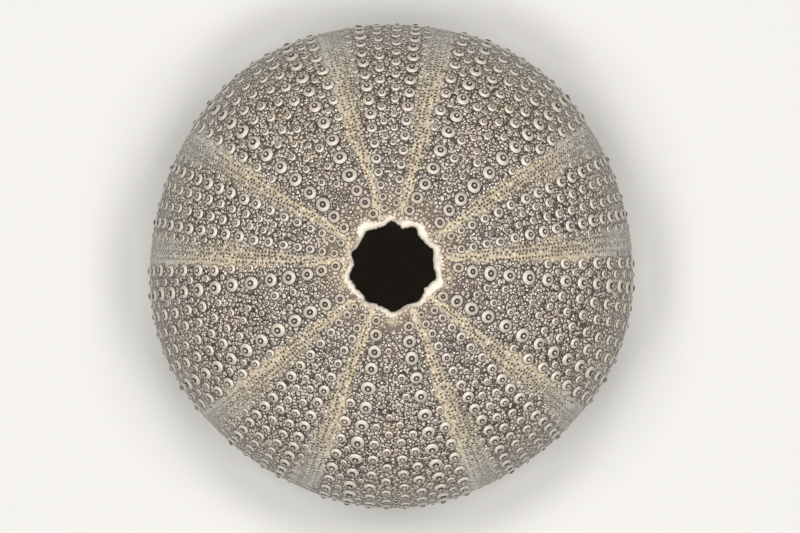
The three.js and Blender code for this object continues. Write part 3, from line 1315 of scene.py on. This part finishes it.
def calcite(colours):
    """Chalky shell: granular ground, cream pore bands, pale discs, painted shade in grooves and pores,
    painted highlights, chalky edge.
    """
    nodes = Nodes(SHELL_MATERIAL)
    place = nodes.new("ShaderNodeTexCoord").outputs["Object"]
    marks = marks_on(nodes, place)
    pale = nodes.attribute("pale")
    shade = nodes.attribute("shade")
    inside = nodes.attribute("inside")
    ground = ground_colour(nodes, colours, marks, place)
    disc = disc_colour(nodes, colours, marks, pale)
    shell = nodes.mix(pale.at_most(1.0) * (0.95 - 0.3 * marks.top), ground, disc)
    shell = nodes.mix(chalky_edge(nodes, marks, place, shade), shell, colours.chalk_and_highlight)
    centre = 1 - marks.radius.step(HOLE_RADIUS + 4, HOLE_RADIUS + 17)
    # Painted shade goes near black in grooves, necks, pore holes and grain halos; by the hole it also
    # browns the heads as a stain
    stain_and_shade_mask = shade.step(0.3 - 0.25 * centre, 0.8 - 0.3 * centre)
    shell = nodes.mix(stain_and_shade_mask * (0.96 - 0.35 * marks.low * marks.band), shell, colours.crevice_stain_and_shade)
    lined = nodes.mix(marks.band * 0.3 + 0.3 * marks.patches, colours.inside, colours.ground_light)
    shell = nodes.mix(inside, shell, lined)
    fine = nodes.noise(place, FINE_SCALE, 2.0, 0.6)
    relief = (marks.granule * (1 - pale) * 0.8 + fine * 0.5) * (1 - inside)
    bump = nodes.new("ShaderNodeBump", None,
                     {"Strength": 0.6, "Distance": BUMP_HEIGHT * MM, "Height": relief})
    surface = nodes.new("ShaderNodeBsdfPrincipled", None, {
        "Base Color": shell, "Roughness": 0.5 + 0.25 * marks.mottle, "Normal": bump.outputs[0]})
    nodes.new("ShaderNodeOutputMaterial", None, {"Surface": surface.outputs[0]})
    return nodes.material


def shell_material(context):
    """The shell's one material, made by the first piece that asks for it."""
    made = bpy.data.materials.get(SHELL_MATERIAL)
    return made or calcite(context.scene.urchin_colours)


def floor_paint(shade):
    nodes = Nodes("pale_floor")
    surface = nodes.new("ShaderNodeBsdfPrincipled", None, {"Base Color": shade, "Roughness": 0.8})
    nodes.new("ShaderNodeOutputMaterial", None, {"Surface": surface.outputs[0]})
    return nodes.material


# ---- Operators ------------------------------------------------------------------------------

class URCHIN_OT_wall(bpy.types.Operator):
    """Make the wall with its larger tubercles, its inside and the edges of its two openings"""

    bl_idname = "urchin.wall"
    bl_label = "Wall"

    def execute(self, context):
        hand_over(make_wall(chosen_sizes(context)), shell_material(context))
        return {"FINISHED"}


class URCHIN_OT_arches(bpy.types.Operator):
    """Make the five arches that stand inside the mouth"""

    bl_idname = "urchin.arches"
    bl_label = "Arches"

    def execute(self, context):
        hand_over(make_arches(chosen_sizes(context)), shell_material(context))
        return {"FINISHED"}


class URCHIN_OT_small_tubercles(bpy.types.Operator):
    """Make the small tubercles between the larger ones"""

    bl_idname = "urchin.small_tubercles"
    bl_label = "Small tubercles"

    def execute(self, context):
        spots = planned_spots(chosen_sizes(context))
        kinds = [(turned_form("least_tubercle", 7, SMALL_STUD), spots["least"]),
                 (turned_form("small_tubercle", 6, SMALL_STUD), spots["small"])]
        hand_over(make_copies("small_tubercles", kinds), shell_material(context))
        return {"FINISHED"}


class URCHIN_OT_pores(bpy.types.Operator):
    """Make the rims of the pores in the five rays"""

    bl_idname = "urchin.pores"
    bl_label = "Pores"

    def execute(self, context):
        kinds = [(turned_form("pore", 5, PORE_RIM), planned_spots(chosen_sizes(context))["pore"])]
        hand_over(make_copies("pores", kinds), shell_material(context))
        return {"FINISHED"}


class URCHIN_OT_grains(bpy.types.Operator):
    """Make the finest grains, above and below the widest place"""

    bl_idname = "urchin.grains"
    bl_label = "Grains"

    def execute(self, context):
        spots = planned_spots(chosen_sizes(context))["grain"]
        for name, upper in (("dome_grains", True), ("flank_grains", False)):
            kinds = [(turned_form("grain", 4, GRAIN), parted(spots, upper))]
            hand_over(make_copies(name, kinds), shell_material(context))
        return {"FINISHED"}


class URCHIN_OT_stage(bpy.types.Operator):
    """Set up the floor, a ring of soft lamps, the sky and the camera straight above"""

    bl_idname = "urchin.stage"
    bl_label = "Stage"

    LAMPS = 6
    LAMP_DISTANCE = 0.9          # lengths here are in metres
    LAMP_SIZE = 0.25
    FLOOR_SIZE = 4.0
    SHIFT_SIDEWAYS = 0.010875    # of the camera's view, as shares of its width
    SHIFT_UPWARDS = -0.00275
    NEAREST_SEEN = 0.01

    def execute(self, context):
        stage = context.scene.urchin_stage
        deselect_all()
        bpy.ops.mesh.primitive_plane_add(size=self.FLOOR_SIZE)
        floor = bpy.context.object
        floor.name = "floor"
        floor.data.materials.append(floor_paint(stage.floor))
        for index in range(self.LAMPS):
            self.add_lamp(index, stage)
        world = bpy.data.worlds.new("studio")
        world.use_nodes = True
        background = world.node_tree.nodes["Background"]
        background.inputs["Color"].default_value = (1, 1, 1, 1)
        background.inputs["Strength"].default_value = stage.sky
        context.scene.world = world
        height = stage.camera_height + EQUATOR_HEIGHT * MM
        bpy.ops.object.camera_add(location=(0, 0, height), rotation=(0, 0, 0))
        camera = bpy.context.object
        camera.data.lens = stage.lens
        camera.data.shift_x = self.SHIFT_SIDEWAYS
        camera.data.shift_y = self.SHIFT_UPWARDS
        camera.data.clip_start = self.NEAREST_SEEN
        context.scene.camera = camera
        context.scene.view_settings.view_transform = "Standard"
        return {"FINISHED"}

    def add_lamp(self, index, stage):
        bearing = 2 * math.pi * (index + 0.5) / self.LAMPS
        out = math.sin(stage.lamp_tilt)
        towards = Vector((out * math.cos(bearing), out * math.sin(bearing), math.cos(stage.lamp_tilt)))
        bpy.ops.object.light_add(type="AREA", location=towards * self.LAMP_DISTANCE)
        lamp = bpy.context.object
        lamp.name = f"softbox_{index + 1}"
        lamp.rotation_euler = towards.to_track_quat("Z", "Y").to_euler()
        lamp.data.size = self.LAMP_SIZE
        lamp.data.energy = stage.lamp_power


class URCHIN_PT_sidebar(bpy.types.Panel):
    """Lists the operators in the order they are run, over the sizes and colours they use"""

    bl_label = "Sea urchin test"
    bl_idname = "URCHIN_PT_sidebar"
    bl_space_type = "VIEW_3D"
    bl_region_type = "UI"
    bl_category = "Urchin"

    def draw(self, context):
        for operator in OPERATORS:
            self.layout.operator(operator.bl_idname)
        scene = context.scene
        for settings in (scene.urchin_sizes, scene.urchin_colours, scene.urchin_stage):
            box = self.layout.box()
            for name in type(settings).__annotations__:
                box.prop(settings, name)


OPERATORS = (
    URCHIN_OT_wall,
    URCHIN_OT_arches,
    URCHIN_OT_small_tubercles,
    URCHIN_OT_pores,
    URCHIN_OT_grains,
    URCHIN_OT_stage,
)
CLASSES = (UrchinSizes, UrchinColours, UrchinStage, *OPERATORS, URCHIN_PT_sidebar)


def register():
    for each in CLASSES:
        bpy.utils.register_class(each)
    bpy.types.Scene.urchin_sizes = PointerProperty(type=UrchinSizes)
    bpy.types.Scene.urchin_colours = PointerProperty(type=UrchinColours)
    bpy.types.Scene.urchin_stage = PointerProperty(type=UrchinStage)


def unregister():
    del bpy.types.Scene.urchin_stage
    del bpy.types.Scene.urchin_colours
    del bpy.types.Scene.urchin_sizes
    for each in reversed(CLASSES):
        bpy.utils.unregister_class(each)


def main():
    register()
    bpy.ops.urchin.wall()
    bpy.ops.urchin.arches()
    bpy.ops.urchin.small_tubercles()
    bpy.ops.urchin.pores()
    bpy.ops.urchin.grains()
    bpy.ops.urchin.stage()


if __name__ == "__main__":
    main()
